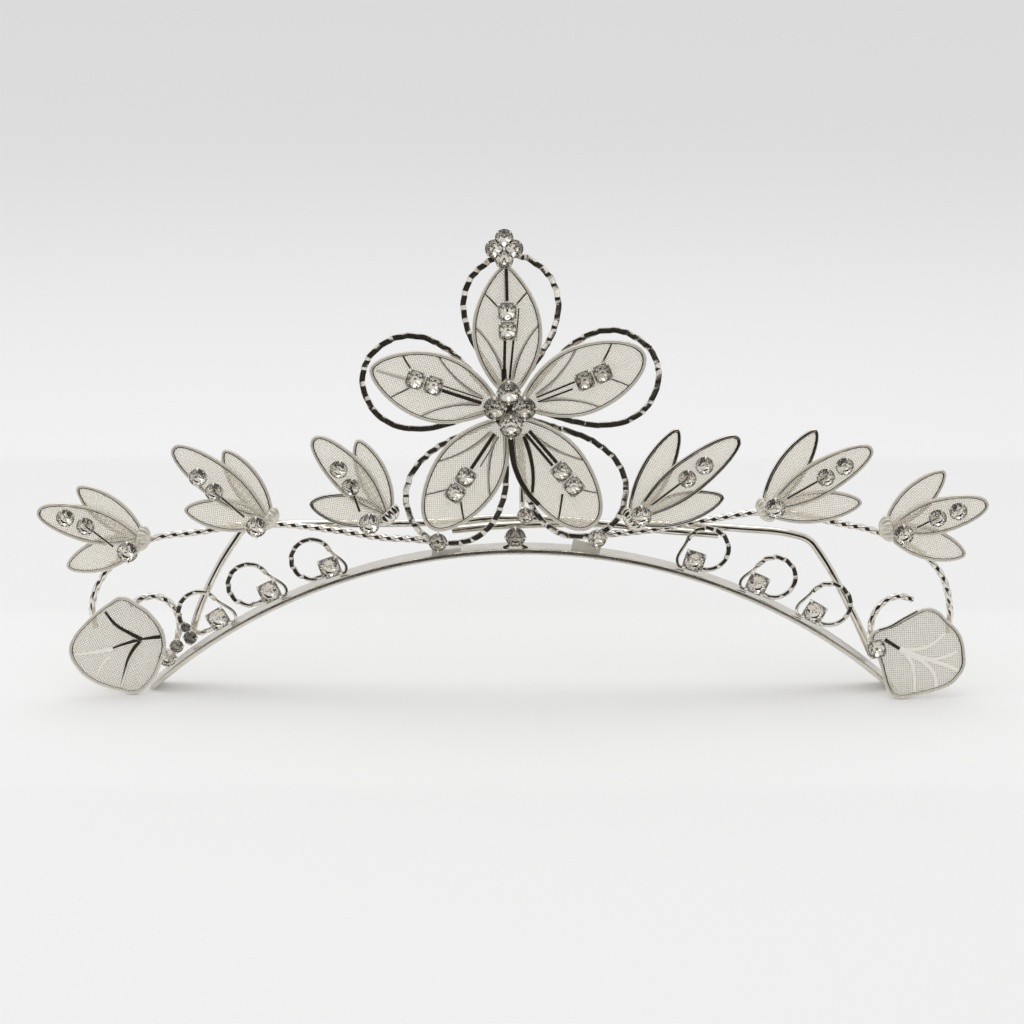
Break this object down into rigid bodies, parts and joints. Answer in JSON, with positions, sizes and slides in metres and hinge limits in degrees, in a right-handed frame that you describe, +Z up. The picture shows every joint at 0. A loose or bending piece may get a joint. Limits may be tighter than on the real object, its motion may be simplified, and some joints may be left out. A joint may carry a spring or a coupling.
{
  "type": "tiara",
  "caption": "Silver wire tiara: arched band with wire scrolls, gauze leaf sprays and a tall five-petalled flower set with clear stones",
  "frame": {"origin": "on the table under the middle of the bounding box, where the tiara stands on its band ends and end leaves", "axes": "+X to the viewer's right along the band, -Y towards the viewer, +Z up from the table"},
  "size_m": [0.1505, 0.0098, 0.0741],
  "materials": {
    "bright_silver": "polished silver plate",
    "twisted_wire_silver": "polished twisted wire",
    "silver_gauze": "fine woven metal gauze in polished rims",
    "clear_stones": "foil-backed clear rhinestones in silver cups"
  },
  "bodies": {
    "root": {"band": "bright_silver", "brace_left": "bright_silver", "brace_right": "bright_silver", "branch_wire_left": "twisted_wire_silver", "branch_wire_right": "twisted_wire_silver", "crown_stone": "clear_stones", "end_leaf_left": "silver_gauze", "end_leaf_right": "silver_gauze", "end_scroll_left": "twisted_wire_silver", "end_scroll_right": "twisted_wire_silver", "end_stone_right": "clear_stones", "end_stones_left": "clear_stones", "flower_centre": "clear_stones", "petal_left": "silver_gauze", "petal_loop_left": "twisted_wire_silver", "petal_loop_lower_left": "twisted_wire_silver", "petal_loop_lower_right": "twisted_wire_silver", "petal_loop_right": "twisted_wire_silver", "petal_loop_top": "twisted_wire_silver", "petal_lower_left": "silver_gauze", "petal_lower_right": "silver_gauze", "petal_right": "silver_gauze", "petal_stem_left": "clear_stones", "petal_stem_lower_left": "clear_stones", "petal_stem_lower_right": "clear_stones", "petal_stem_right": "clear_stones", "petal_stem_top": "clear_stones", "petal_top": "silver_gauze", "post_wire": "bright_silver", "scroll_1": "twisted_wire_silver", "scroll_2": "twisted_wire_silver", "scroll_3": "twisted_wire_silver", "scroll_4": "twisted_wire_silver", "scroll_5": "twisted_wire_silver", "scroll_6": "twisted_wire_silver", "scroll_stone_1": "clear_stones", "scroll_stone_2": "clear_stones", "scroll_stone_3": "clear_stones", "scroll_stone_4": "clear_stones", "scroll_stone_5": "clear_stones", "scroll_stone_6": "clear_stones", "spray_leaves_1": "silver_gauze", "spray_leaves_2": "silver_gauze", "spray_leaves_3": "silver_gauze", "spray_leaves_4": "silver_gauze", "spray_leaves_5": "silver_gauze", "spray_leaves_6": "silver_gauze", "spray_stem_1": "clear_stones", "spray_stem_2": "clear_stones", "spray_stem_3": "clear_stones", "spray_stem_4": "clear_stones", "spray_stem_5": "clear_stones", "spray_stem_6": "clear_stones", "spray_stone_1": "clear_stones", "spray_stone_2": "clear_stones", "spray_stone_3": "clear_stones", "spray_stone_4": "clear_stones", "spray_stone_5": "clear_stones", "spray_stone_6": "clear_stones", "tip_cluster": "clear_stones"}
  },
  "joints": []
}
